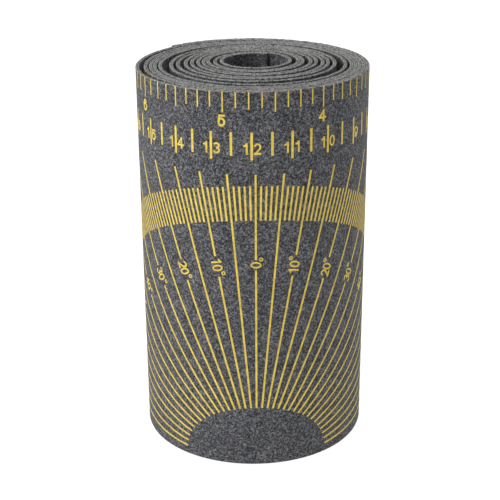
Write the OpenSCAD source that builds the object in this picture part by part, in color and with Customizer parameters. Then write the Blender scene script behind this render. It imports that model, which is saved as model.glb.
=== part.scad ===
// Wrap-around marking sheet, rolled up and standing on its edge.
// One long flexible strip, printed on its outer face with an inch ruler, a centimetre ruler
// and a protractor fan.  Millimetres, +Z up along the roll, front of the roll towards -Y.
//
// A place on the strip is given flat: s is the distance from the outer end and z the height
// above the lower edge.  The roll is drawn in arcs, first an eighth of a turn, then quarters
// and last a short end, and arc_of(s) carries a place on the strip on to the roll.

/* [Strip] */
// Width of the strip, which is the height of the roll
strip_width = 101.6; // [60:0.1:150]
// Thickness of the strip
strip_thickness = 0.95; // [0.5:0.05:0.95]

/* [Roll] */
// Radius of the printed face at the outer end
outer_radius = 30.8; // [28:0.05:45]
// Whole turns after the first eighth
turns = 14; // [4:1:14]
// How far each turn lies inside the one before, wound tight
turn_pitch = 1.03; // [1:0.01:1.2]
// How far the inner end runs on past the back of the roll, in degrees
inner_end = 25; // [5:1:90]

/* [Printing] */
// Thickness of the printed ink
ink_thickness = 0.1; // [0.05:0.01:0.14]
// Height of every numeral
numeral_height = 2.9; // [2:0.1:4]
// Width of the strokes of the numerals
numeral_stroke = 0.42; // [0.3:0.01:0.6]

/* [Inch ruler] */
// Width of an inch tick
inch_tick_width = 0.4; // [0.2:0.05:0.8]
// Length of the tick at each whole inch
inch_tick_length = 5; // [4.5:0.1:7]
// Gap between a whole inch tick and its numeral
inch_numeral_gap = 0.7; // [0.3:0.1:1.5]

/* [Centimetre ruler] */
// Width of a centimetre tick
centimetre_tick_width = 0.7; // [0.3:0.05:1]
// Distance from the top edge down to the upper ends of the centimetre ticks
centimetre_tick_drop = 10; // [9.5:0.1:12]
// Length of the tick at each whole centimetre
centimetre_tick_length = 6.9; // [6:0.1:8]
// Length of the tick at each half centimetre
half_tick_length = 5.85; // [4:0.05:7]

/* [Protractor] */
// Place of the middle of the fan, from the outer end
fan_place = 119.1; // [90:0.1:130]
// Height of the middle of the fan above the lower edge
fan_height = 0.75; // [0:0.05:3]
// Width of a ray
ray_width = 0.55; // [0.3:0.05:0.8]
// Angle between rays
ray_step = 5; // [5:5:10]
// Half width of the bare oval that the rays start from
oval_half_width = 20; // [10:0.5:30]
// Height of the bare oval that the rays start from
oval_height = 16.3; // [10:0.1:25]
// Distance from the middle of the fan to the border where the rays end, up and to each side
fan_border = 80.3; // [70:0.1:82]
// Inner radius of the band of degree ticks
band_inner = 68.5; // [62:0.1:72]
// Outer radius of the band of degree ticks
band_outer = 77.4; // [74:0.1:80]
// Radius where the degree numerals stand
label_radius = 56.65; // [50:0.05:60]
// Length of the gap that a numeral leaves in its ray
label_gap = 5.6; // [4:0.1:8]

/* [Hidden] */
$fn = 180;

sheet_grey = [0.27, 0.28, 0.31];
ink_yellow = [0.91, 0.81, 0.31];

// ---- The roll ----

// Slack taken up at the back, right and left of each turn, from the outermost inwards.  Slack
// taken up behind opens the turns in front, so they lie closest together at the back.
back_slack = [0, 0, 0, 0, 0, 0.5, 0.65, 0.64, 0.32, 0.56, 0.36, 0.16, 0.1, 0.66, 0];
right_slack = [0, 0.55, 0.13, 0.03, 0.15, 0.65, 0, 0.16, 0.12, 0, 0, 0, 0.33, 0, 0];
left_slack = [0, 0, 0, 0, 0, 0.53, 0, 0, 0.05, 0, 0.45, 0, 0.23, 0, 0];

end_direction = 135;    // the outer end points back and to the left
first_sweep = 45;       // from the outer end to the back of the roll
quarter = 90;
last_arc = 4 * turns + 1;

// The slack at the end of arc i, which lies at the back, right, front or left in turn.
function slack_after(i) =
    let (turn = floor(i / 4), side = i % 4)
    side == 0 ? back_slack[turn] :
    side == 1 ? right_slack[turn] :
    side == 3 ? left_slack[turn] : 0;

// How much smaller the radius of the arc after arc i is.
function step_after(i) = turn_pitch / 4 + slack_after(i);

// The direction in which arc i starts, as seen from its centre.
function arc_start(i) = i == 0 ? end_direction : end_direction - first_sweep - quarter * (i - 1);
function arc_sweep(i) = i == 0 ? first_sweep : i == last_arc ? inner_end : quarter;

// The direction of the joint that arc i is drawn from: its inner end for the first arc, and
// its outer end for the rest.
function joint_direction(i) = i == 0 ? end_direction - first_sweep : arc_start(i);

function radians(angle) = angle * PI / 180;
function degrees(angle) = angle * 180 / PI;
function toward(angle) = [cos(angle), sin(angle)];

// Each arc as [centre, radius of the printed face, s at its start].  The centre moves
// towards the joint by what the radius loses, so neighbouring arcs share a tangent.
arcs = [
    for (
        i = 0, centre = [0, 0], radius = outer_radius, s = 0;
        i <= last_arc;
        s = s + radius * radians(arc_sweep(i)),
        centre = centre + step_after(i) * toward(arc_start(i + 1)),
        radius = radius - step_after(i),
        i = i + 1
    ) [centre, radius, s]
];

// The middle of the roll's outline, which becomes the origin.
middle = [
    (arcs[2][0][0] + arcs[2][1] + arcs[4][0][0] - arcs[4][1]) / 2,
    (arcs[1][0][1] + arcs[1][1] + arcs[3][0][1] - arcs[3][1]) / 2
];

// A curved plate on arc i, from radius_in to radius_out and over the given directions.
module arc_plate(i, radius_in, radius_out, from, sweep, height) {
    translate(arcs[i][0] - middle)
        rotate([0, 0, from])
            rotate_extrude(angle = sweep)
                translate([radius_in, 0])
                    square([radius_out - radius_in, height]);
}

module wrap_sheet() {
    color(sheet_grey)
        for (i = [0 : last_arc])
            arc_plate(i, arcs[i][1] - strip_thickness, arcs[i][1],
                joint_direction(i), i == 0 ? first_sweep : -arc_sweep(i), strip_width);
}

// ---- Printing on the outer turn ----

inch = 25.4;
half_centimetre = 5;
// The outer turn ends on this arc, where the outer end begins to cover it.
printed_arcs = 4;
end_clearance = 0.5;
printed_length =
    arcs[printed_arcs][2] + arcs[printed_arcs][1] * radians(first_sweep) - end_clearance;

// The arc that carries the place s, and the direction of s on it.
function arc_of(s) = max([for (i = [0 : printed_arcs]) if (arcs[i][2] <= s) i]);
function direction_of(s) =
    let (i = arc_of(s))
    arc_start(i) - degrees((s - arcs[i][2]) / arcs[i][1]);

// An upright tick, printed on the curve.
module upright_tick(s, z, length, width) {
    i = arc_of(s);
    half = degrees(width / 2 / arcs[i][1]);
    translate([0, 0, z])
        arc_plate(i, arcs[i][1], arcs[i][1] + ink_thickness, direction_of(s) - half, 2 * half, length);
}

// Lays flat work on the strip, with its own X along the reading direction and Y up.
module on_strip(s, z) {
    i = arc_of(s);
    direction = direction_of(s);
    translate([each (arcs[i][0] - middle + arcs[i][1] * toward(direction)), z])
        rotate([90, 0, direction + 90])
            linear_extrude(ink_thickness)
                children();
}

// How much shorter the ticks at the halves, quarters and eighths are than the whole inch's.
half_short = 0.1;
quarter_short = 0.8;
eighth_short = 1.1;
function inch_tick(eighths) =
    inch_tick_length - (
        eighths % 8 == 0 ? 0 :
        eighths % 4 == 0 ? half_short :
        eighths % 2 == 0 ? quarter_short : eighth_short
    );

module inch_ticks() {
    color(ink_yellow)
        for (n = [1 : floor(printed_length / inch * 8)])
            upright_tick(n * inch / 8, strip_width - inch_tick(n), inch_tick(n), inch_tick_width);
}

module inch_numerals() {
    drop = inch_tick_length + inch_numeral_gap + numeral_height;
    color(ink_yellow)
        for (n = [1 : floor(printed_length / inch)])
            on_strip(n * inch, strip_width - drop)
                numeral(n);
}

module centimetre_ticks() {
    top = strip_width - centimetre_tick_drop;
    color(ink_yellow)
        for (n = [1 : floor(printed_length / half_centimetre)]) {
            length = n % 2 == 0 ? centimetre_tick_length : half_tick_length;
            upright_tick(n * half_centimetre, top - length, length, centimetre_tick_width);
        }
}

// A centimetre number stands astride its tick, and a single figure stands to the right of it.
module centimetre_numerals() {
    rise = 1.4;             // from the lower ends of the ticks
    aside = 1.45;
    z = strip_width - centimetre_tick_drop - centimetre_tick_length + rise;
    color(ink_yellow)
        for (n = [1 : floor((printed_length - aside) / (2 * half_centimetre))]) {
            tick = 2 * half_centimetre * n;
            on_strip(tick - aside, z)
                numeral(n % 10);
            if (n > 9)
                on_strip(tick + aside, z)
                    numeral(floor(n / 10));
        }
}

// ---- Protractor ----

// The radius at which a ray leaves the bare oval.
function oval_radius(angle) =
    1 / norm([sin(angle) / oval_half_width, cos(angle) / oval_height]);
// The radius at which a ray meets the border or the end of the printed turn.
function border_radius(angle) =
    min(fan_border / max(cos(angle), abs(sin(angle))), room_at(angle));
function room_at(angle) = angle > 0 ? (printed_length - fan_place) / sin(angle) : 1000;

// A point of the fan on the strip, at an angle that grows towards larger s.
function fan_point(angle, radius) =
    [fan_place + radius * sin(angle), fan_height + radius * cos(angle)];

// A point above the printed face.
function skin_point(s, z, proud) =
    let (i = arc_of(s))
    [each (arcs[i][0] - middle + (arcs[i][1] + proud) * toward(direction_of(s))), z];

// A long straight stroke on the strip, bent round the roll as one ribbon of ink.
ribbon_step = 3.5;
module ribbon(from, to, width) {
    run = to - from;
    side = [run[1], -run[0]] / norm(run) * width / 2;
    steps = ceil(abs(run[0]) / ribbon_step) + 1;
    points = [
        for (k = [0 : steps])
            let (left = from + run * k / steps - side, right = from + run * k / steps + side)
            each [
                skin_point(left[0], left[1], 0), skin_point(right[0], right[1], 0),
                skin_point(right[0], right[1], ink_thickness),
                skin_point(left[0], left[1], ink_thickness)
            ]
    ];
    walls = [
        for (k = [0 : steps - 1], j = [0 : 3])
            [4 * k + j, 4 * k + 4 + j, 4 * k + 4 + (j + 1) % 4, 4 * k + (j + 1) % 4]
    ];
    last_ring = 4 * steps;
    ends = [[0, 1, 2, 3], [for (j = [3 : -1 : 0]) last_ring + j]];
    polyhedron(points, concat(walls, ends));
}

// A short straight stroke: what a slanting box shares with the skin of ink over each arc.
module short_stroke(from, to, width) {
    mid = (from + to) / 2;
    mid_arc = arc_of(mid[0]);
    radius = arcs[mid_arc][1];
    direction = direction_of(mid[0]);
    across = 2 * radius * sin(degrees((to[0] - from[0]) / 2 / radius));
    rise = to[1] - from[1];
    reach = 3;              // far enough each way to pass through the skin of ink
    for (i = [arc_of(min(from[0], to[0]) - width) : arc_of(max(from[0], to[0]) + width)])
        intersection() {
            arc_plate(i, arcs[i][1], arcs[i][1] + ink_thickness,
                arc_start(i) - arc_sweep(i), arc_sweep(i), strip_width);
            translate([each (arcs[mid_arc][0] - middle + radius * toward(direction)), mid[1]])
                rotate([0, 0, direction])
                    rotate([atan2(across, rise), 0, 0])
                        cube([2 * reach, width, norm([across, rise])], center = true);
        }
}

rays = [for (angle = [-85 : ray_step : 85]) angle];

module protractor_rays() {
    color(ink_yellow)
        for (angle = rays) {
            start = fan_point(angle, oval_radius(angle));
            end = fan_point(angle, border_radius(angle));
            if (angle % 10 == 0) {
                gap = angle == 0 ? label_gap / 2 : label_gap;
                ribbon(start, fan_point(angle, label_radius - gap / 2), ray_width);
                ribbon(fan_point(angle, label_radius + gap / 2), end, ray_width);
            } else {
                ribbon(start, end, ray_width);
            }
        }
}

module protractor_degree_ticks() {
    color(ink_yellow)
        for (angle = [-84 : 84])
            if (angle % ray_step != 0 && border_radius(angle) > band_outer)
                short_stroke(fan_point(angle, band_inner), fan_point(angle, band_outer), ray_width);
}

// The degree numbers lie along their rays and read downwards on the left and upwards on the
// right.  The upright ray's nought lies on its side, with its ring up and to the right.
module protractor_numerals() {
    digit_pitch = 1.8;
    second_digit = 0.4;
    ring_run = 1.5;
    color(ink_yellow)
        for (angle = [-80 : 10 : 80])
            if (border_radius(angle) > label_radius) {
                place = fan_point(angle, label_radius);
                last_digit = angle == 0 ? 0 : second_digit;
                ring_at = angle == 0 ? -ring_run : last_digit + ring_run;
                on_strip(place[0], place[1])
                    rotate(angle < 0 ? angle + 90 : angle - 90)
                        translate([0, -numeral_height / 2]) {
                            if (angle != 0)
                                translate([last_digit - digit_pitch, 0])
                                    numeral(abs(angle) / 10);
                            translate([last_digit, 0])
                                numeral(0);
                            translate([ring_at, numeral_height - 0.1])
                                degree_ring();
                        }
            }
}

// ---- Numerals, drawn from straight strokes and round bends, centred on X with Y up ----

figure_width = 1.75;

module degree_ring() {
    difference() {
        circle(d = 1.05, $fn = 32);
        circle(d = 0.5, $fn = 32);
    }
}

// A whole loop of the stroke.
module loop(centre, radius) {
    translate(centre)
        difference() {
            circle(radius + numeral_stroke / 2, $fn = 32);
            circle(radius - numeral_stroke / 2, $fn = 32);
        }
}

module bar(from, to) {
    run = to - from;
    translate(from)
        rotate(atan2(run[1], run[0]))
            translate([-numeral_stroke / 2, -numeral_stroke / 2])
                square([norm(run) + numeral_stroke, numeral_stroke]);
}

// A round bend of the stroke about a centre, between two directions.
module bend(centre, radius, from, to) {
    outer = radius + numeral_stroke / 2;
    points = [for (step = [0 : 12]) from + (to - from) * step / 12];
    polygon([
        for (angle = points) centre + outer * toward(angle),
        for (step = [12 : -1 : 0]) centre + (outer - numeral_stroke) * toward(points[step])
    ]);
}

side = (figure_width - numeral_stroke) / 2;     // from the middle to the upright strokes
foot = numeral_stroke / 2;                      // height of the lowest stroke's middle
head = numeral_height - numeral_stroke / 2;     // height of the highest stroke's middle

module numeral(figure) {
    if (figure == 0) zero();
    if (figure == 1) one();
    if (figure == 2) two();
    if (figure == 3) three();
    if (figure == 4) four();
    if (figure == 5) five();
    if (figure == 6) six();
    if (figure == 7) seven();
    if (figure == 8) eight();
    if (figure == 9) translate([0, numeral_height]) rotate(180) six();
}

module zero() {
    bend([0, head - side], side, 0, 180);
    bend([0, foot + side], side, 180, 360);
    for (x = [-side, side])
        bar([x, foot + side], [x, head - side]);
}

module one() {
    bar([0.1, foot], [0.1, head]);
    bar([-0.35, head - 0.5], [0.1, head]);
}

module two() {
    bend([0, head - side], side, 165, -35);
    bar([side * cos(35), head - side - side * sin(35)], [-side, foot]);
    bar([-side, foot], [side, foot]);
}

module three() {
    upper = 0.58;
    lower = 0.68;
    bend([0, head - upper], upper, 155, -90);
    bend([0, foot + lower], lower, 90, -155);
}

module four() {
    upright = 0.3;
    sill = 0.85;
    bar([upright, foot], [upright, head]);
    bar([upright, head], [-side, sill]);
    bar([-side, sill], [side, sill]);
}

module five() {
    bowl = 0.76;
    bar([-0.45, head], [side, head]);
    bar([-0.45, head], [-0.55, foot + bowl + 0.45]);
    bend([-0.05, foot + bowl], bowl, 135, -150);
}

module six() {
    loop([0, foot + side], side);
    bend([0, head - side], side, 180, 35);
    bar([-side, foot + side], [-side, head - side]);
}

module seven() {
    bar([-side, head], [side, head]);
    bar([side, head], [-0.25, foot]);
}

module eight() {
    upper = 0.56;
    loop([0, head - upper], upper);
    loop([0, foot + side], side);
}

wrap_sheet();
inch_ticks();
inch_numerals();
centimetre_ticks();
centimetre_numerals();
protractor_rays();
protractor_degree_ticks();
protractor_numerals();
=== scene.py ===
# Wrap-around marking sheet: a long strip of pressed fibre, printed in yellow, rolled up and
# standing on its edge.  Metres, +Z up along the roll, front of the roll towards -Y.
import math

import bmesh
import bpy
import numpy as np
from mathutils import Matrix, Vector
from mathutils.geometry import delaunay_2d_cdt


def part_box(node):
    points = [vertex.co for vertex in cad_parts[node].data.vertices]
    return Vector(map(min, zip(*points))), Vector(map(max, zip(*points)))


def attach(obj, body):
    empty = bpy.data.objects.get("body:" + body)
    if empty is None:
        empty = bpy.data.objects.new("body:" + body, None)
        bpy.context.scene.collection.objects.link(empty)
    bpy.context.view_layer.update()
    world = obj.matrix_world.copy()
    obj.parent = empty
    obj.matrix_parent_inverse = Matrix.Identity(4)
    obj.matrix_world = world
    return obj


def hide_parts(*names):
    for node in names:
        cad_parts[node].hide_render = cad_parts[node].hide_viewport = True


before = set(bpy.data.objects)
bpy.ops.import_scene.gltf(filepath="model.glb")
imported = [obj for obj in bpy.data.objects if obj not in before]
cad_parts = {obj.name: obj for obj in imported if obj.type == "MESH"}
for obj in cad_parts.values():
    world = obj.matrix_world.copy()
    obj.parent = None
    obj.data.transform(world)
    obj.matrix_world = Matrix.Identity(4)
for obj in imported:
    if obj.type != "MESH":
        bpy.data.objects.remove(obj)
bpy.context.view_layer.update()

MM = 0.001
INCH = 25.4 * MM


# ---- The strip ----
# One strip of compressed fibre sheet, dark grey, with fibres of every shade pressed flat in
# its faces.  It is cut to width with a blade, which leaves a slightly fuzzy edge, and rolled
# up by hand with the printed face outwards and the outer end behind.

STRIP_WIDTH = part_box("wrap_sheet")[1].z
STRIP_THICKNESS = 0.95 * MM
OUTER_RADIUS = 30.8 * MM
TURNS = 14
TURN_PITCH = 1.03 * MM
BACK_SLACK = [0, 0, 0, 0, 0, 0.5, 0.65, 0.64, 0.32, 0.56, 0.36, 0.16, 0.1, 0.66, 0]
RIGHT_SLACK = [0, 0.55, 0.13, 0.03, 0.15, 0.65, 0, 0.16, 0.12, 0, 0, 0, 0.33, 0, 0]
LEFT_SLACK = [0, 0, 0, 0, 0, 0.53, 0, 0, 0.05, 0, 0.45, 0, 0.23, 0, 0]
FRONT_SLACK = [0] * (TURNS + 1)
END_DIRECTION = math.radians(135)
EIGHTH, QUARTER, INNER_END = math.radians(45), math.radians(90), math.radians(25)
END_CLEARANCE = 0.5 * MM

# The roll is an eighth of a turn, then quarters and last a short end.  At each joint the
# radius shrinks and the centre moves towards the joint by as much, so it never kinks.  The
# slack taken up at a joint, in millimetres, opens a gap on the other side of the roll.
centre, radius, direction, travel = Vector((0, 0)), OUTER_RADIUS, END_DIRECTION, 0
sweeps = [EIGHTH] + [QUARTER] * 4 * TURNS + [INNER_END]
arcs = []
for arc, sweep in enumerate(sweeps):
    arcs.append((centre.x, centre.y, radius, direction, travel))
    travel += radius * sweep
    direction -= sweep
    turn, side = divmod(arc, 4)
    slack = (BACK_SLACK, RIGHT_SLACK, FRONT_SLACK, LEFT_SLACK)[side][turn] * MM
    step = TURN_PITCH / 4 + slack
    centre = centre + step * Vector((math.cos(direction), math.sin(direction)))
    radius -= step
centre_x, centre_y, radii, directions, starts = np.array(arcs).T
centre_x -= (centre_x[2] + radii[2] + centre_x[4] - radii[4]) / 2
centre_y -= (centre_y[1] + radii[1] + centre_y[3] - radii[3]) / 2
strip_end = travel
strip_length = strip_end - sum(sweeps) * STRIP_THICKNESS / 2
printed_end = starts[4] + radii[4] * EIGHTH - END_CLEARANCE


def on_roll(along, height, proud):
    """Carries places on the flat strip, measured from its outer end, on to the roll."""
    arc = np.clip(np.searchsorted(starts, along, side="right") - 1, 0, len(starts) - 1)
    angle = directions[arc] - (along - starts[arc]) / radii[arc]
    reach = radii[arc] + proud
    return np.stack(
        [centre_x[arc] + reach * np.cos(angle), centre_y[arc] + reach * np.sin(angle), height],
        axis=-1,
    )


# The section of the strip, once round: up the printed face, over the cut edge, down the
# back and under the other edge.  Rows are in millimetres: height from the nearer edge, and
# for the rounded edges also depth into the sheet.
FACE_ROWS = [0.35, 1.2, 6, 25]
EDGE_ROWS = [
    (0.26, 0.0), (0.08, 0.06), (0.0, 0.2), (0.02, 0.475), (0.0, 0.75), (0.08, 0.89), (0.26, 0.95)
]
top_edge = [(STRIP_WIDTH - drop * MM, -depth * MM) for drop, depth in EDGE_ROWS]
bottom_edge = [(drop * MM, -depth * MM) for drop, depth in reversed(EDGE_ROWS)]
printed_face = [(rise * MM, 0) for rise in FACE_ROWS]
printed_face += [(STRIP_WIDTH - rise * MM, 0) for rise in reversed(FACE_ROWS)]
back_face = [(height, -STRIP_THICKNESS) for height, _ in reversed(printed_face)]
section = np.array(printed_face + top_edge + back_face + bottom_edge)

# Columns lie closest together on the outer arcs, whose outline shows most.
FINE_STEP, COARSE_STEP = math.radians(1.25), math.radians(2.25)
FINE_ARCS = 6
columns = []
for arc, (start, arc_radius) in enumerate(zip(starts, radii)):
    end = starts[arc + 1] if arc + 1 < len(starts) else strip_end
    count = round((end - start) / arc_radius / (FINE_STEP if arc < FINE_ARCS else COARSE_STEP))
    columns += list(np.linspace(start, end, count, endpoint=False))
columns = np.array(columns + [strip_end])

# The blade wandered a little, and left its edge ragged.
KNOT_SPACING = 35 * MM
WANDER = 0.2 * MM
RAGGED = 0.065 * MM
rng = np.random.default_rng(11)
knots = np.arange(0, strip_end + KNOT_SPACING, KNOT_SPACING)
knot_drops = rng.uniform(0, WANDER, len(knots))


def cut_height(along, height):
    """Lowers what is near the upper edge by as much as the cut wanders there."""
    near_top = np.clip(2 * height / STRIP_WIDTH - 1, 0, 1)
    return height - near_top * np.interp(along, knots, knot_drops)


along = np.repeat(columns[:, None], len(section), axis=1)
height = cut_height(along, np.repeat(section[None, :, 0], len(columns), axis=0))
proud = np.repeat(section[None, :, 1], len(columns), axis=0)
first_edge, last_edge = len(printed_face), len(printed_face) + len(top_edge)
top_rows = slice(first_edge, last_edge)
height[:, top_rows] -= np.abs(rng.normal(0, RAGGED, height[:, top_rows].shape))
proud[:, top_rows] += rng.normal(0, RAGGED / 2, height[:, top_rows].shape)

places = on_roll(along, height, proud).reshape(-1, 3)
rows = len(section)
faces = []
for column in range(len(columns) - 1):
    for row in range(rows):
        here, above = column * rows + row, column * rows + (row + 1) % rows
        faces.append((here, above, above + rows, here + rows))
faces.append(tuple(range(rows)))
faces.append(tuple(reversed(range(len(places) - rows, len(places)))))
strip_mesh = bpy.data.meshes.new("rolled_strip")
strip_mesh.from_pydata(places.tolist(), [], faces)
strip = bpy.data.objects.new("rolled_strip", strip_mesh)
bpy.context.collection.objects.link(strip)

# Painted highlight along the cut corners: the rows just in from each corner are set to one here,
# and the finishes paint broken pale lines there.
bottom_start = rows - len(bottom_edge)
corner_rows = [first_edge + 1, first_edge + 2, last_edge - 3, last_edge - 2]
corner_rows += [bottom_start + 1, bottom_start + 2, rows - 3, rows - 2]
painted_corner_highlight = np.zeros((len(columns), rows))
painted_corner_highlight[:, corner_rows] = 1
strip_mesh.attributes.new("painted_corner_highlight", "FLOAT", "POINT").data.foreach_set("value", painted_corner_highlight.ravel())


class Wire:
    """A socket of a finish, carried on by Python's own operators."""

    def __init__(self, tree, socket):
        self.tree = tree
        self.socket = socket

    def node(self, kind, settings, inputs, output=0):
        """Adds a node: its settings first, then numbers or wires into its sockets."""
        made = self.tree.nodes.new(kind)
        for name, value in settings.items():
            setattr(made, name, value)
        for name, value in inputs.items():
            if isinstance(value, Wire):
                self.tree.links.new(value.socket, made.inputs[name])
            else:
                made.inputs[name].default_value = value
        return Wire(self.tree, made.outputs[output])

    def maths(self, operation, *values):
        settings = {"operation": operation}
        return self.node("ShaderNodeMath", settings, dict(enumerate(values)))

    def __add__(self, other):
        return self.maths("ADD", self, other)

    def __sub__(self, other):
        return self.maths("SUBTRACT", self, other)

    def __rsub__(self, other):
        return self.maths("SUBTRACT", other, self)

    def __mul__(self, other):
        return self.maths("MULTIPLY", self, other)

    def __abs__(self):
        return self.maths("ABSOLUTE", self)

    __radd__, __rmul__ = __add__, __mul__

    def ramp(self, low, high):
        """Nought at low, one at high, and straight between."""
        ends = {"Value": self, "From Min": low, "From Max": high}
        return self.node("ShaderNodeMapRange", {}, ends)

    def noise(self, size, detail=2.0, twist=0.0, shift=0.0):
        """Cloudy values with blotches of the given size, on this wire's coordinates."""
        moved = self.node("ShaderNodeVectorMath", {"operation": "ADD"}, {0: self, 1: (shift,) * 3})
        look = {"Vector": moved, "Scale": 1 / size, "Detail": detail, "Distortion": twist}
        return self.node("ShaderNodeTexNoise", {}, look)

    def blend(self, first, second):
        """One colour where this wire is nought and another where it is one."""
        return self.node(
            "ShaderNodeMix", {"data_type": "RGBA"}, {0: self, 6: first, 7: second}, output=2
        )


def new_finish(name):
    """A fresh finish, its shader node and the object's own coordinates."""
    finish = bpy.data.materials.new(name)
    finish.use_nodes = True
    tree = finish.node_tree
    place = Wire(tree, tree.nodes.new("ShaderNodeTexCoord").outputs["Object"])
    return finish, tree.nodes["Principled BSDF"], place


def strands(place, size, width, shift):
    """Short curly lines, as single fibres lie."""
    cloud = place.noise(size, detail=1.0, twist=0.8, shift=shift)
    chopped = place.noise(size * 0.8, detail=1.0, shift=shift + 0.05).ramp(0.42, 0.54)
    return abs(cloud - 0.5).ramp(width, 0) * chopped


BUMP_DEPTH = 0.12 * MM


def pressed_fibre(name, dark, middle, pale, pale_share, corner_highlight_share):
    """Grey fibre of many shades, with a painted highlight of broken pale lines along the cut
    corners.
    """
    finish, shader, place = new_finish(name)
    grain = place.noise(0.26 * MM, detail=3.0, twist=0.4).ramp(0.38, 0.62)
    patches = place.noise(5 * MM, detail=2.0, shift=0.3).ramp(0.3, 0.7)
    long_fibres = strands(place, 1.0 * MM, 0.06, 0.1)
    short_fibres = strands(place, 0.6 * MM, 0.08, 0.2)
    shadows = strands(place, 0.7 * MM, 0.1, 0.5)
    # Painted highlight: broken pale lines on the rows marked along the cut corners.
    corner_highlight_mask = place.node("ShaderNodeAttribute", {"attribute_name": "painted_corner_highlight"}, {}, output=2)
    broken = place.noise(0.45 * MM, detail=2.0, shift=0.8).ramp(0.4, 0.52)
    shade = grain.blend(dark, middle)
    shade = (patches * 0.08).blend(shade, pale)
    shade = (shadows * 0.95).blend(shade, dark)
    shade = (long_fibres * pale_share).blend(shade, pale)
    shade = (short_fibres * pale_share).blend(shade, pale)
    shade = (corner_highlight_mask * broken * corner_highlight_share).blend(shade, pale)
    tree = finish.node_tree
    tree.links.new(shade.socket, shader.inputs["Base Color"])
    relief = grain * 0.5 + long_fibres * 0.5 + short_fibres * 0.5 - shadows * 0.5
    look = {"Height": relief, "Strength": 0.7, "Distance": BUMP_DEPTH}
    bump = place.node("ShaderNodeBump", {}, look)
    tree.links.new(bump.socket, shader.inputs["Normal"])
    shader.inputs["Roughness"].default_value = 0.88
    shader.inputs["Specular IOR Level"].default_value = 0.2
    shader.inputs["Sheen Weight"].default_value = 0.08
    shader.inputs["Sheen Roughness"].default_value = 0.5
    return finish


DARK_FIBRE = (0.006, 0.0065, 0.008, 1)
MIDDLE_FIBRE = (0.047, 0.049, 0.056, 1)
PALE_FIBRE = (0.24, 0.24, 0.255, 1)
EDGE_DARK = (0.005, 0.005, 0.006, 1)
EDGE_MIDDLE = (0.026, 0.026, 0.027, 1)
EDGE_PALE = (0.48, 0.48, 0.465, 1)
face_finish = pressed_fibre(
    "pressed_fibre_face", DARK_FIBRE, MIDDLE_FIBRE, PALE_FIBRE, pale_share=0.8, corner_highlight_share=0.35
)
edge_finish = pressed_fibre(
    "cut_fibre_edge", EDGE_DARK, EDGE_MIDDLE, EDGE_PALE, pale_share=0.26, corner_highlight_share=0.5
)
strip_mesh.materials.append(face_finish)
strip_mesh.materials.append(edge_finish)
cut_rows = set(range(first_edge, last_edge - 1)) | set(range(bottom_start, rows - 1))
for face in strip_mesh.polygons:
    is_end = face.index >= (len(columns) - 1) * rows
    face.material_index = int(is_end or face.index % rows in cut_rows)

bpy.ops.object.select_all(action="DESELECT")
strip.select_set(True)
bpy.context.view_layer.objects.active = strip
SHARP_ANGLE = math.radians(50)
bpy.ops.object.shade_smooth_by_angle(angle=SHARP_ANGLE)
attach(strip, "root")
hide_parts("wrap_sheet")


# ---- The ink ----
# Every mark is screen-printed in one thick yellow, straight on to the fibre, which breaks
# through it in specks.  Flat drawings have x to the reader's right and y up, with x = 0 at
# the outer end, so the rulers run from right to left.

INK_STAND = 0.025 * MM
INK_SOAK = 0.02 * MM
INK_STEP = 0.6 * MM
WELD_GAP = 1e-6
CUT_GAP = 1e-7

ink_finish, ink_shader, ink_place = new_finish("yellow_ink")
YELLOW = (0.70, 0.53, 0.06, 1)
THIN_YELLOW = (0.50, 0.345, 0.04, 1)
worn = ink_place.noise(0.45 * MM, detail=3.0, twist=0.4).ramp(0.60, 0.72)
thin = ink_place.noise(1.5 * MM, detail=2.0, shift=0.4).ramp(0.35, 0.75)
ink_shade = thin.blend(YELLOW, THIN_YELLOW)
ink_shade = (worn * 0.7).blend(ink_shade, MIDDLE_FIBRE)
ink_tree = ink_finish.node_tree
ink_tree.links.new(ink_shade.socket, ink_shader.inputs["Base Color"])
ink_relief = ink_place.noise(0.42 * MM, detail=3.0, twist=0.4)
ink_bump = ink_place.node(
    "ShaderNodeBump", {}, {"Height": ink_relief, "Strength": 0.5, "Distance": 0.08 * MM}
)
ink_tree.links.new(ink_bump.socket, ink_shader.inputs["Normal"])
ink_shader.inputs["Roughness"].default_value = 0.62


def join_strokes(outlines):
    """Joins overlapping outlines in one flat drawing, as triangles that only touch."""
    corners, loops = [], []
    for outline in outlines:
        sides = zip(outline, outline[1:] + outline[:1])
        turning = sum(Vector(start).cross(Vector(end)) for start, end in sides)
        ordered = outline if turning > 0 else outline[::-1]
        loops.append(list(range(len(corners), len(corners) + len(outline))))
        corners += [Vector(point) / MM for point in ordered]
    points, _, shapes, _, _, sources = delaunay_2d_cdt(corners, [], loops, 1, 1e-4)
    return [[points[i] * MM for i in shape] for shape, source in zip(shapes, sources) if source]


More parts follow.
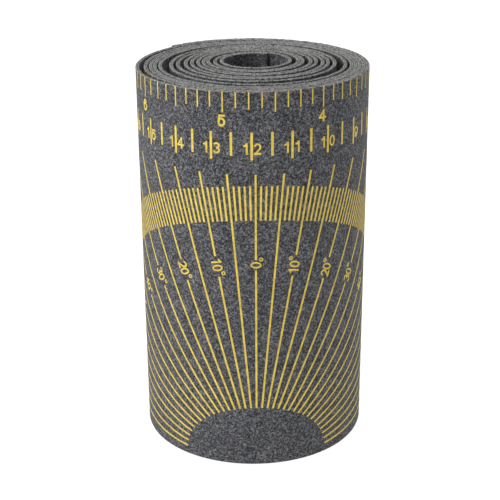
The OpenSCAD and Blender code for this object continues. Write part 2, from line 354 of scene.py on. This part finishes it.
def print_marks(name, node, shapes):
    """Prints flat shapes on the roll as one skin of ink, cut often enough to bend with it."""
    flat = bmesh.new()
    for shape in shapes:
        flat.faces.new([flat.verts.new((*point, 0)) for point in shape])
    bmesh.ops.remove_doubles(flat, verts=flat.verts, dist=WELD_GAP)
    for face in flat.faces:
        if face.normal.z < 0:
            face.normal_flip()
    left = min(v.co.x for v in flat.verts)
    right = max(v.co.x for v in flat.verts)
    for cut in np.arange(left + INK_STEP, right, INK_STEP):
        everything = flat.verts[:] + flat.edges[:] + flat.faces[:]
        bmesh.ops.bisect_plane(
            flat, geom=everything, plane_co=(cut, 0, 0), plane_no=(1, 0, 0), dist=CUT_GAP
        )
    mesh = bpy.data.meshes.new(name)
    flat.to_mesh(mesh)
    flat.free()
    flat_places = np.array([v.co for v in mesh.vertices])
    along, height = -flat_places[:, 0], flat_places[:, 1]
    rolled = on_roll(along, cut_height(along, height), INK_STAND)
    mesh.vertices.foreach_set("co", rolled.ravel())
    mesh.materials.append(ink_finish)
    marks = bpy.data.objects.new(name, mesh)
    bpy.context.collection.objects.link(marks)
    bpy.ops.object.select_all(action="DESELECT")
    marks.select_set(True)
    bpy.context.view_layer.objects.active = marks
    skin = marks.modifiers.new("skin", "SOLIDIFY")
    skin.thickness = INK_STAND + INK_SOAK
    skin.offset = -1
    bpy.ops.object.modifier_apply(modifier=skin.name)
    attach(marks, "root")
    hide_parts(node)


# ---- Inch ticks ----
# A thin tick every eighth of an inch hangs from the upper edge, longer at the quarter, the
# half and the whole inch.  They run on round the second turn, where their heads just show.

INCH_TICK_WIDTH = 0.33 * MM
INCH_TICK_LENGTHS = {8: 5.0 * MM, 4: 4.9 * MM, 2: 4.2 * MM, 1: 3.9 * MM}
TICK_TOP = STRIP_WIDTH - 0.15 * MM
EIGHTH_INCH = INCH / 8
SECOND_TURN_END = starts[8]


def upright(along, top, length, width):
    """The outline of an upright tick."""
    left, right = -along - width / 2, -along + width / 2
    return [(left, top - length), (right, top - length), (right, top), (left, top)]


def inch_tick_length(eighths):
    """The longest division that the tick stands on gives its length."""
    division = next(part for part in INCH_TICK_LENGTHS if eighths % part == 0)
    return INCH_TICK_LENGTHS[division]


print_marks("inch_ruler_ticks", "inch_ticks", [
    upright(n * EIGHTH_INCH, TICK_TOP, inch_tick_length(n), INCH_TICK_WIDTH)
    for n in range(1, int(SECOND_TURN_END / EIGHTH_INCH))
])


# ---- Numerals ----
# Plain upright figures with round bowls and strokes of one width, as such rulers are
# lettered.  Each is drawn from bars and bends, whose places are shares of the figure's own
# height, width and stroke, and is then set wherever it is needed.

BEND_STEPS = 10


def bar(start, end, stroke):
    """A straight stroke with square ends."""
    start, end = Vector(start), Vector(end)
    along = (end - start).normalized() * stroke / 2
    aside = Vector((-along.y, along.x))
    start, end = start - along, end + along
    return [start - aside, end - aside, end + aside, start + aside]


def bend(centre, half_width, half_height, turn_from, turn_to, stroke):
    """Part of an oval stroke about a centre, from one direction to another, in degrees."""
    middle = Vector(centre)
    turns = np.radians(np.linspace(turn_from, turn_to, BEND_STEPS))

    def side_of_stroke(aside):
        across, up = half_width + aside, half_height + aside
        return [middle + Vector((math.cos(t) * across, math.sin(t) * up)) for t in turns]

    return side_of_stroke(stroke / 2) + side_of_stroke(-stroke / 2)[::-1]


def oval(centre, half_width, half_height, stroke):
    """A whole oval stroke, in two halves."""
    return [
        bend(centre, half_width, half_height, 0, 180, stroke),
        bend(centre, half_width, half_height, 180, 360, stroke),
    ]


def strokes_of(number, height, width, stroke):
    """The strokes of one figure, centred on x = 0 and standing on y = 0."""
    # Foot, head and sides are where the middles of the outer strokes run.
    side = (width - stroke) / 2
    foot, head = stroke / 2, height - stroke / 2
    half = (head - foot) / 2
    if number == 0:
        return oval((0, height / 2), side, half, stroke)
    if number == 1:
        stem = 0.12 * width
        brow = head - 0.24 * height
        flag = [
            (-0.36 * width, brow), (stem, brow), (stem, height), (stem - 0.3 * stroke, height),
            (-0.08 * width, height - 0.6 * stroke), (-0.36 * width, brow + 0.7 * stroke),
        ]
        return [bar((stem, foot), (stem, head), stroke), flag]
    if number == 2:
        bowl = 0.26 * height
        turn = math.radians(-38)
        hip = (side * math.cos(turn), head - bowl + bowl * math.sin(turn))
        return [
            bend((0, head - bowl), side, bowl, 172, -38, stroke),
            bar(hip, (-side + 0.3 * stroke, foot), stroke),
            bar((-side, foot), (side, foot), stroke),
        ]
    if number == 3:
        upper, lower = 0.47 * half, 0.53 * half
        return [
            bend((0, head - upper), 0.9 * side, upper, 165, -100, stroke),
            bend((0, foot + lower), side, lower, 97, -168, stroke),
        ]
    if number == 4:
        stem, sill = 0.2 * width, foot + 0.24 * height
        return [
            bar((stem, foot), (stem, head), stroke),
            bar((stem, head), (-side, sill + 0.2 * stroke), 0.85 * stroke),
            bar((-side, sill), (side + 0.1 * width, sill), stroke),
        ]
    if number == 5:
        bowl = 0.3 * height
        return [
            bar((-0.6 * side, head), (0.85 * side, head), stroke),
            bar((-0.62 * side, head), (-0.82 * side, foot + 1.15 * bowl), stroke),
            bend((0, foot + bowl), side, bowl, 140, -165, stroke),
        ]
    if number in (6, 9):
        bowl = 0.29 * height
        marks = oval((0, foot + bowl), side, bowl, stroke) + [
            bend((0, height / 2), side, half, 182, 30, stroke),
            bar((-side, foot + bowl), (-side, height / 2), stroke),
        ]
        if number == 6:
            return marks
        return [[Vector((0, height)) - Vector(point) for point in mark] for mark in marks]
    if number == 7:
        return [
            bar((-side, head), (side, head), stroke),
            bar((side - 0.1 * stroke, head), (-0.35 * side, foot), stroke),
        ]
    upper, lower = 0.46 * half, 0.54 * half
    upper_ring = oval((0, head - upper), 0.88 * side, upper, stroke)
    return upper_ring + oval((0, foot + lower), side, lower, stroke)


def figure(number, size):
    """One figure, its strokes joined."""
    return join_strokes(strokes_of(number, *size))


def set_type(outlines, place, turn=0):
    """Moves a drawing to its place on the flat strip and turns it, in degrees."""
    spin = Matrix.Rotation(math.radians(turn), 2)
    return [[Vector(place) + spin @ Vector(point) for point in outline] for outline in outlines]


# ---- Inch numerals ----
# The largest figures stand under their ticks, a shade to the left of them.

# Height, width and stroke.
INCH_FIGURE = (3.0 * MM, 2.0 * MM, 0.52 * MM)
INCH_FIGURE_FOOT = STRIP_WIDTH - 8.75 * MM
INCH_FIGURE_ASIDE = 0.3 * MM
marks = []
for n in range(1, int(printed_end / INCH) + 1):
    marks += set_type(figure(n, INCH_FIGURE), (-n * INCH - INCH_FIGURE_ASIDE, INCH_FIGURE_FOOT))
print_marks("inch_ruler_figures", "inch_numerals", marks)


# ---- Centimetre ticks ----
# Bolder ticks hang below the inch ruler, and the half centimetres are shorter.

CENTIMETRE_TOP = STRIP_WIDTH - 10 * MM
CENTIMETRE_TICK_WIDTH = 0.62 * MM
WHOLE_TICK, HALF_TICK = 6.9 * MM, 5.85 * MM
HALF_CENTIMETRE = 5 * MM
marks = []
for n in range(1, int(printed_end / HALF_CENTIMETRE) + 1):
    length = HALF_TICK if n % 2 else WHOLE_TICK
    marks.append(upright(n * HALF_CENTIMETRE, CENTIMETRE_TOP, length, CENTIMETRE_TICK_WIDTH))
print_marks("centimetre_ruler_ticks", "centimetre_ticks", marks)


# ---- Centimetre numerals ----
# A number stands astride its tick, and a single figure to the right of it.

CENTIMETRE_FIGURE = (2.85 * MM, 1.8 * MM, 0.46 * MM)
CENTIMETRE_FOOT = CENTIMETRE_TOP - WHOLE_TICK + 1.4 * MM
ASTRIDE = 1.4 * MM
CENTIMETRE = 10 * MM
marks = []
for n in range(1, int((printed_end - ASTRIDE) / CENTIMETRE) + 1):
    units = (-n * CENTIMETRE + ASTRIDE, CENTIMETRE_FOOT)
    tens = (-n * CENTIMETRE - ASTRIDE, CENTIMETRE_FOOT)
    marks += set_type(figure(n % 10, CENTIMETRE_FIGURE), units)
    if n > 9:
        marks += set_type(figure(n // 10, CENTIMETRE_FIGURE), tens)
print_marks("centimetre_ruler_figures", "centimetre_numerals", marks)


# ---- Protractor rays ----
# Every five degrees a ray runs from a bare half oval at the lower edge out to a straight
# border.  Those at the tens are broken where their numbers stand.

FAN_PLACE, FAN_HEIGHT = 119.1 * MM, 0.75 * MM
RAY_WIDTH = 0.5 * MM
RAY_STEP, LABEL_STEP = 5, 10
OVAL_HALF_WIDTH, OVAL_HEIGHT = 20 * MM, 16.3 * MM
FAN_BORDER = 80.3 * MM
LABEL_RADIUS, LABEL_GAP = 56.65 * MM, 5.6 * MM


def fan_point(angle, radius):
    """A place on the flat strip, at an angle in degrees that grows to the reader's left."""
    turn = math.radians(angle)
    return Vector((-FAN_PLACE - radius * math.sin(turn), FAN_HEIGHT + radius * math.cos(turn)))


def oval_radius(angle):
    """How far the edge of the bare oval is from the middle of the fan."""
    turn = math.radians(angle)
    return 1 / math.hypot(math.sin(turn) / OVAL_HALF_WIDTH, math.cos(turn) / OVAL_HEIGHT)


def border_radius(angle):
    """How far the border is, or on the left the end of what is printed, if that is nearer."""
    turn = math.radians(angle)
    border = FAN_BORDER / max(math.cos(turn), abs(math.sin(turn)))
    return min(border, (printed_end - FAN_PLACE) / math.sin(turn)) if angle > 0 else border


def ray(angle, radius_from, radius_to):
    """The outline of a stretch of ray, with square ends."""
    start, end = fan_point(angle, radius_from), fan_point(angle, radius_to)
    along = (end - start).normalized() * RAY_WIDTH / 2
    aside = Vector((-along.y, along.x))
    return [start - aside, end - aside, end + aside, start + aside]


marks = []
for angle in range(-85, 90, RAY_STEP):
    start, end = oval_radius(angle), border_radius(angle)
    if angle % LABEL_STEP:
        marks.append(ray(angle, start, end))
    else:
        gap = LABEL_GAP if angle else LABEL_GAP / 2
        marks.append(ray(angle, start, LABEL_RADIUS - gap / 2))
        marks.append(ray(angle, LABEL_RADIUS + gap / 2, end))
print_marks("fan_rays", "protractor_rays", marks)


# ---- Degree ticks ----
# A band of ticks, one to a degree, lies between the rays near their ends.

BAND_INNER, BAND_OUTER = 68.5 * MM, 77.4 * MM
print_marks("fan_degree_ticks", "protractor_degree_ticks", [
    ray(angle, BAND_INNER, BAND_OUTER)
    for angle in range(-84, 85)
    if angle % RAY_STEP and border_radius(angle) > BAND_OUTER
])


# ---- Degree numerals ----
# The numbers lie along their rays, in the gaps, each with a small raised ring.  They read
# outwards on the right of the fan and inwards on the left, and the nought is on its side.

DEGREE_FIGURE = (2.8 * MM, 1.78 * MM, 0.44 * MM)
FIGURE_PITCH = 1.8 * MM
LAST_FIGURE = 0.4 * MM
RING_RUN = 1.5 * MM
RING_DROP = 0.1 * MM
RING_RADIUS, RING_STROKE = 0.39 * MM, 0.28 * MM
marks = []
for angle in range(-80, 90, LABEL_STEP):
    if border_radius(angle) < LABEL_RADIUS:
        continue
    last = LAST_FIGURE if angle else 0
    ring = last + RING_RUN if angle else -RING_RUN
    foot = -DEGREE_FIGURE[0] / 2
    label = set_type(figure(0, DEGREE_FIGURE), (last, foot))
    ring_place = (ring, foot + DEGREE_FIGURE[0] - RING_DROP)
    label += join_strokes(oval(ring_place, RING_RADIUS, RING_RADIUS, RING_STROKE))
    if angle:
        label += set_type(figure(abs(angle) // 10, DEGREE_FIGURE), (last - FIGURE_PITCH, foot))
    turn = angle + 90 if angle < 0 else angle - 90
    marks += set_type(label, fan_point(angle, LABEL_RADIUS), turn)
print_marks("fan_figures", "protractor_numerals", marks)


# ---- Floor, light and camera ----
# A plain white table, a broad soft light from the left and one from above.

TABLE_SIZE = 6
bpy.ops.object.select_all(action="DESELECT")
bpy.ops.mesh.primitive_plane_add(size=TABLE_SIZE, location=(0, 0, 0))
floor = bpy.context.object
floor.name = "floor"
floor_finish, floor_shader, _ = new_finish("white_table")
floor_shader.inputs["Base Color"].default_value = (0.45, 0.45, 0.45, 1)
floor_shader.inputs["Roughness"].default_value = 0.9
floor_shader.inputs["Specular IOR Level"].default_value = 0
floor_shader.inputs["Emission Color"].default_value = (1, 1, 1, 1)
floor_shader.inputs["Emission Strength"].default_value = 0.72
floor.data.materials.append(floor_finish)

scene = bpy.context.scene
scene.view_settings.view_transform = "Standard"
world = bpy.data.worlds.new("studio")
world.use_nodes = True
world.node_tree.nodes["Background"].inputs["Color"].default_value = (1, 1, 1, 1)
world.node_tree.nodes["Background"].inputs["Strength"].default_value = 0.48
scene.world = world


def soft_light(name, place, size, power):
    """A square light that faces the middle of the roll."""
    bpy.ops.object.light_add(type="AREA", location=place)
    light = bpy.context.object
    light.name = name
    light.data.size = size
    light.data.energy = power
    aim = Vector((0, 0, STRIP_WIDTH / 2)) - Vector(place)
    light.rotation_euler = aim.to_track_quat("-Z", "Y").to_euler()


soft_light("left_light", (-0.75, -0.45, 0.45), size=0.5, power=6.5)
soft_light("top_light", (0.1, 0.15, 0.9), size=0.5, power=5)

CAMERA_PLACE = (-0.00095, -0.30727, 0.17249)
CAMERA_DIP, CAMERA_ROLL = 0.3813, -0.0063
CAMERA_SENSOR, CAMERA_LENS = 36, 86.8
bpy.ops.object.camera_add(location=CAMERA_PLACE)
camera = bpy.context.object
camera.matrix_world = (
    Matrix.Translation(CAMERA_PLACE)
    @ Matrix.Rotation(math.pi / 2 - CAMERA_DIP, 4, "X")
    @ Matrix.Rotation(CAMERA_ROLL, 4, "Z")
)
camera.data.sensor_width = CAMERA_SENSOR
camera.data.lens = CAMERA_LENS
scene.camera = camera
